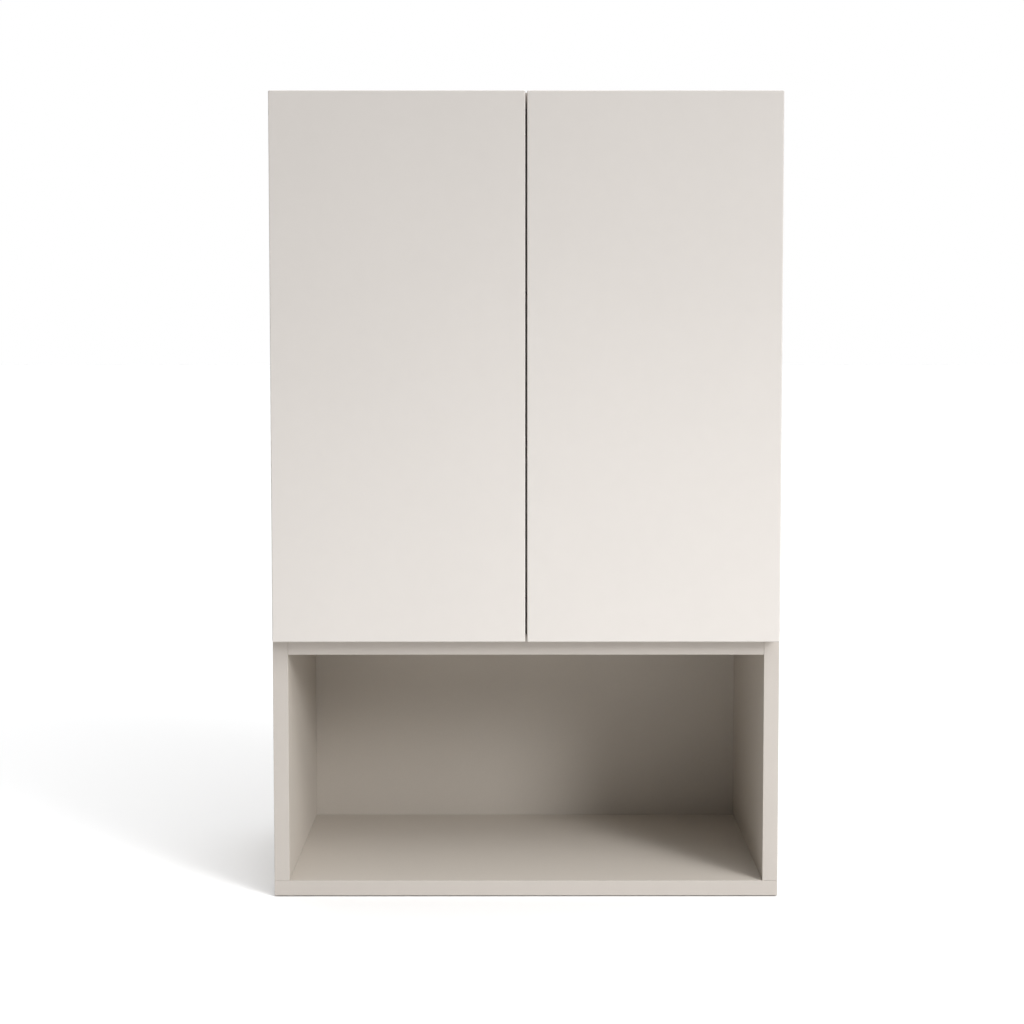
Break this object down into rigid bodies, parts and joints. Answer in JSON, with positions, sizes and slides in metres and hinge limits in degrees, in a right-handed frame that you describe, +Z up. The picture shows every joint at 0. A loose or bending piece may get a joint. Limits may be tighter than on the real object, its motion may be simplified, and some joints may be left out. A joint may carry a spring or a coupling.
{
  "type": "wall-mounted bathroom cabinet",
  "caption": "Tall wall-hung cabinet with handle-less push-to-open doors over an open niche, on concealed hinges and a wall rail.",
  "frame": {"origin": "middle of the back face of the wall rail, on the wall plane", "axes": "+X to the right seen from the room, +Y into the wall, +Z up"},
  "size_m": [0.6, 0.321, 0.95],
  "materials": {
    "carcass_melamine": "matt greige melamine on particle board, edges banded to match",
    "door_lacquer": "smooth matt off-white lacquer on fibreboard",
    "hinge_nickel": "nickel-plated pressed steel",
    "fixing_steel": "zinc-plated turned steel",
    "hanger_zinc": "galvanised folded sheet",
    "fitting_plastic": "grey moulded plastic"
  },
  "bodies": {
    "carcass": {"left_side_panel": "carcass_melamine", "right_side_panel": "carcass_melamine", "top_panel": "carcass_melamine", "middle_deck": "carcass_melamine", "bottom_panel": "carcass_melamine", "back_panel": "carcass_melamine", "lower_shelf": "carcass_melamine", "upper_shelf": "carcass_melamine", "lower_left_front_shelf_pin": "fixing_steel", "lower_left_rear_shelf_pin": "fixing_steel", "lower_right_front_shelf_pin": "fixing_steel", "lower_right_rear_shelf_pin": "fixing_steel", "upper_left_front_shelf_pin": "fixing_steel", "upper_left_rear_shelf_pin": "fixing_steel", "upper_right_front_shelf_pin": "fixing_steel", "upper_right_rear_shelf_pin": "fixing_steel", "left_lower_hinge_arm": "hinge_nickel", "left_upper_hinge_arm": "hinge_nickel", "right_lower_hinge_arm": "hinge_nickel", "right_upper_hinge_arm": "hinge_nickel", "left_lower_hinge_plate": "hinge_nickel", "left_upper_hinge_plate": "hinge_nickel", "right_lower_hinge_plate": "hinge_nickel", "right_upper_hinge_plate": "hinge_nickel", "left_latch_holder": "fitting_plastic", "right_latch_holder": "fitting_plastic", "left_latch_barrel": "fitting_plastic", "right_latch_barrel": "fitting_plastic", "left_latch_spring": "fixing_steel", "right_latch_spring": "fixing_steel", "left_latch_outer_screw": "fixing_steel", "left_latch_inner_screw": "fixing_steel", "right_latch_outer_screw": "fixing_steel", "right_latch_inner_screw": "fixing_steel", "wall_rail": "hanger_zinc", "left_hanger_housing": "hanger_zinc", "right_hanger_housing": "hanger_zinc", "left_hanger_hook": "hanger_zinc", "right_hanger_hook": "hanger_zinc", "left_hanger_height_screw": "fixing_steel", "left_hanger_depth_screw": "fixing_steel", "right_hanger_height_screw": "fixing_steel", "right_hanger_depth_screw": "fixing_steel", "left_hanger_cover": "fitting_plastic", "right_hanger_cover": "fitting_plastic"},
    "left_door": {"left_door": "door_lacquer", "left_door_strike": "fixing_steel", "left_lower_hinge_cup": "hinge_nickel", "left_upper_hinge_cup": "hinge_nickel", "left_lower_hinge_pin": "fixing_steel", "left_upper_hinge_pin": "fixing_steel"},
    "right_door": {"right_door": "door_lacquer", "right_door_strike": "fixing_steel", "right_lower_hinge_cup": "hinge_nickel", "right_upper_hinge_cup": "hinge_nickel", "right_lower_hinge_pin": "fixing_steel", "right_upper_hinge_pin": "fixing_steel"},
    "left_plunger": {"left_latch_plunger": "fitting_plastic"},
    "right_plunger": {"right_latch_plunger": "fitting_plastic"}
  },
  "joints": [
    {"name": "left_door_swing", "type": "hinge", "parent": "carcass", "child": "left_door", "pos_m": [-0.29, -0.311, -0.2525], "axis": [0, 0, -1], "range_deg": [0, 100]},
    {"name": "right_door_swing", "type": "hinge", "parent": "carcass", "child": "right_door", "pos_m": [0.29, -0.311, -0.2525], "axis": [0, 0, 1], "range_deg": [0, 100]},
    {"name": "left_plunger_slide", "type": "slide", "parent": "carcass", "child": "left_plunger", "axis": [0, -1, 0], "range_m": [0, 0.02], "deforming": ["left_latch_spring"]},
    {"name": "right_plunger_slide", "type": "slide", "parent": "carcass", "child": "right_plunger", "axis": [0, -1, 0], "range_m": [0, 0.02], "deforming": ["right_latch_spring"]}
  ],
  "couplings": [
    {"joint": "left_plunger_slide", "follows": "left_door_swing", "m_per_rad": 0.01145},
    {"joint": "right_plunger_slide", "follows": "right_door_swing", "m_per_rad": 0.01145}
  ]
}
